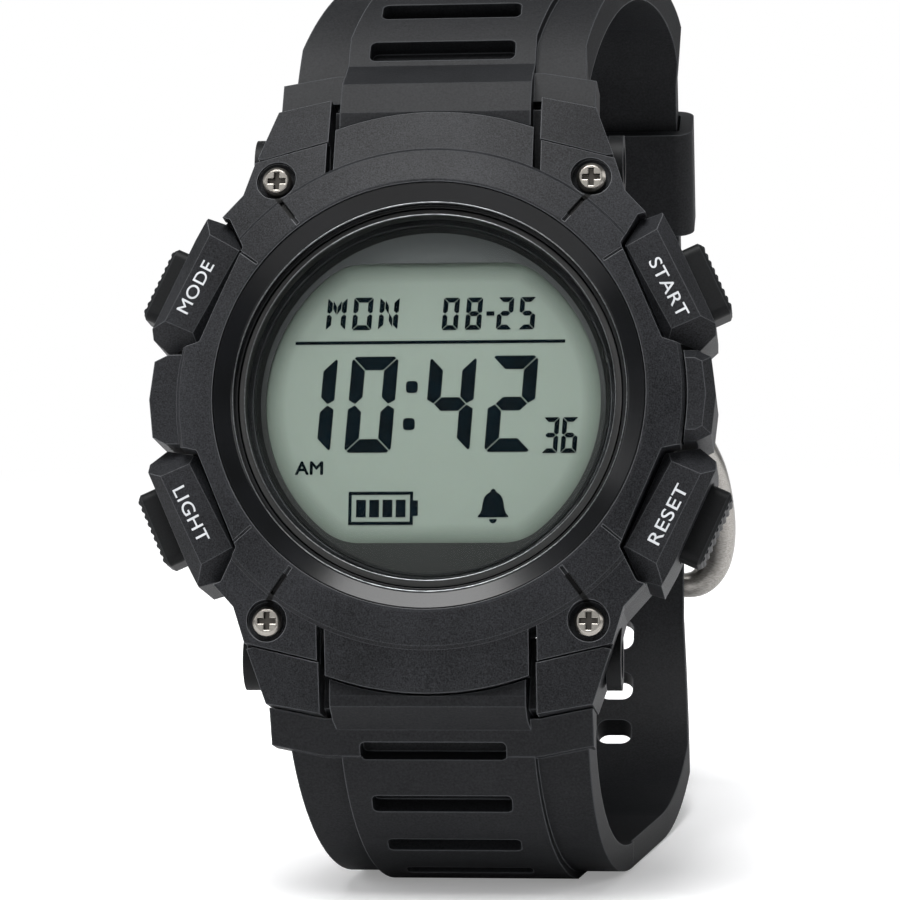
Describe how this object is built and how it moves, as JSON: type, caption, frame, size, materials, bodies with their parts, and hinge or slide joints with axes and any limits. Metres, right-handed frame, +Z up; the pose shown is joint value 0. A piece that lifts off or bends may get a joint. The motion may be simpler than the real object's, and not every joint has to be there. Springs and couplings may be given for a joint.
{
  "type": "digital watch",
  "caption": "Sports watch with a round display, guarded push buttons and a buckled resin strap, standing upright on the bend of its strap.",
  "frame": {"origin": "on the table under the middle of the watch's outer box", "axes": "+Z up, +X to the viewer's right, the face looks towards -Y and leans back"},
  "size_m": [0.0522, 0.07, 0.084],
  "materials": {
    "case_resin": "fine-grained moulded resin",
    "bezel_resin": "fine-grained moulded resin",
    "strap_resin": "satin moulded resin",
    "keeper_resin": "satin moulded resin",
    "button_resin": "ribbed moulded resin",
    "pin_cap_resin": "satin moulded resin",
    "ring_gloss": "smooth black",
    "screw_steel": "turned stainless steel",
    "spring_steel": "drawn stainless steel",
    "buckle_steel": "satin stainless steel",
    "case_back_steel": "brushed stainless steel",
    "plated_steel": "nickel plated",
    "brass_disc": "rolled",
    "crystal_glass": "clear mineral glass",
    "display_glass": "grey-green reflective display",
    "backlight_film": "white film",
    "dial_black": "printed dark grey",
    "seal_rubber": "nitrile",
    "module_plastic": "moulded",
    "board_laminate": "green laminate",
    "chip_epoxy": "moulded epoxy"
  },
  "bodies": {
    "watch": {"case_body": "case_resin", "bezel": "bezel_resin", "bezel_screws": "screw_steel", "crystal": "crystal_glass", "crystal_seal": "seal_rubber", "crystal_ring": "ring_gloss", "rehaut_ring": "dial_black", "dial_mask": "dial_black", "display_panel": "display_glass", "backlight_panel": "backlight_film", "module_frame": "module_plastic", "circuit_board": "board_laminate", "control_chip": "chip_epoxy", "quartz_can": "plated_steel", "display_connectors": "seal_rubber", "battery": "plated_steel", "battery_clip": "spring_steel", "sounder": "brass_disc", "switch_leaves": "spring_steel", "case_back": "case_back_steel", "case_back_gasket": "seal_rubber", "case_back_screws": "screw_steel", "upper_strap_pin": "spring_steel", "lower_strap_pin": "spring_steel", "upper_pin_screws": "pin_cap_resin", "lower_pin_screws": "pin_cap_resin", "upper_strap": "strap_resin", "lower_strap": "strap_resin", "buckle_bar": "spring_steel", "mode_button_seal": "seal_rubber", "mode_button_spring": "spring_steel", "light_button_seal": "seal_rubber", "light_button_spring": "spring_steel", "start_button_seal": "seal_rubber", "start_button_spring": "spring_steel", "reset_button_seal": "seal_rubber", "reset_button_spring": "spring_steel"},
    "mode_button": {"mode_button": "button_resin", "mode_button_clip": "spring_steel"},
    "light_button": {"light_button": "button_resin", "light_button_clip": "spring_steel"},
    "start_button": {"start_button": "button_resin", "start_button_clip": "spring_steel"},
    "reset_button": {"reset_button": "button_resin", "reset_button_clip": "spring_steel"},
    "keeper": {"strap_keeper": "keeper_resin"},
    "buckle": {"buckle_frame": "buckle_steel"},
    "tongue": {"buckle_tongue": "buckle_steel"}
  },
  "joints": [
    {"name": "mode_press", "type": "slide", "parent": "watch", "child": "mode_button", "axis": [0.9107, -0.1069, -0.399], "range_m": [0, 0.0008], "stiffness_N_per_m": 900, "springref_m": -0.0008, "deforming": ["mode_button_spring"]},
    {"name": "light_press", "type": "slide", "parent": "watch", "child": "light_button", "axis": [0.9107, 0.1069, 0.399], "range_m": [0, 0.0008], "stiffness_N_per_m": 900, "springref_m": -0.0008, "deforming": ["light_button_spring"]},
    {"name": "start_press", "type": "slide", "parent": "watch", "child": "start_button", "axis": [-0.9107, -0.1069, -0.399], "range_m": [0, 0.0008], "stiffness_N_per_m": 900, "springref_m": -0.0008, "deforming": ["start_button_spring"]},
    {"name": "reset_press", "type": "slide", "parent": "watch", "child": "reset_button", "axis": [-0.9107, 0.1069, 0.399], "range_m": [0, 0.0008], "stiffness_N_per_m": 900, "springref_m": -0.0008, "deforming": ["reset_button_spring"]},
    {"name": "keeper_slide", "type": "slide", "parent": "watch", "child": "keeper", "axis": [0, -0.309, 0.9511], "range_m": [-0.002, 0.002]},
    {"name": "buckle_hinge", "type": "hinge", "parent": "watch", "child": "buckle", "pos_m": [0.0085, 0.02615, 0.037], "axis": [1, 0, 0], "range_deg": [0, 3]},
    {"name": "tongue_hinge", "type": "hinge", "parent": "buckle", "child": "tongue", "pos_m": [0.0085, 0.02615, 0.037], "axis": [1, 0, 0], "range_deg": [0, 3]}
  ]
}
